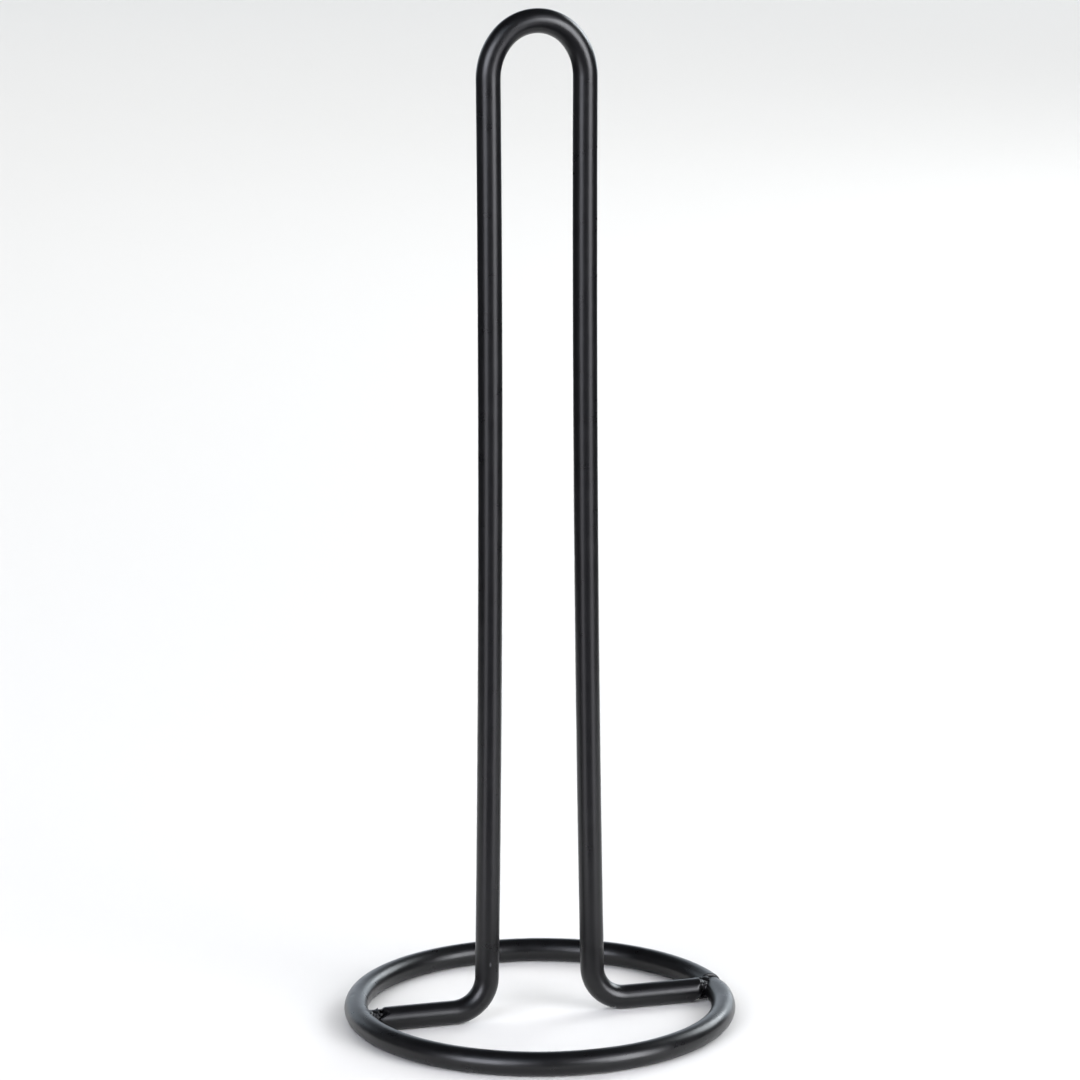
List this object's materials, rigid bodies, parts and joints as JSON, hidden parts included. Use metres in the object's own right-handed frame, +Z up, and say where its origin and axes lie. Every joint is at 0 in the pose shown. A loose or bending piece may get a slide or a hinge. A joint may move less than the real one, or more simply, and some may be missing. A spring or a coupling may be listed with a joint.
{
  "type": "paper towel holder",
  "caption": "Upright paper towel holder of bent round rod: a tall narrow hairpin welded by its feet inside a flat base ring, in satin black powder coat.",
  "frame": {"origin": "the centre of the base ring, on the surface the holder stands on", "axes": "+Z up along the hairpin; the hairpin lies in the plane y = 0 with its feet pointing along -X and +X"},
  "size_m": [0.1308, 0.1308, 0.3364],
  "materials": {
    "black_powder_coat": "satin powder coat"
  },
  "bodies": {
    "root": {"base_ring": "black_powder_coat", "upright_rod": "black_powder_coat", "left_foot_weld": "black_powder_coat", "right_foot_weld": "black_powder_coat", "ring_seam_weld": "black_powder_coat"}
  },
  "joints": []
}
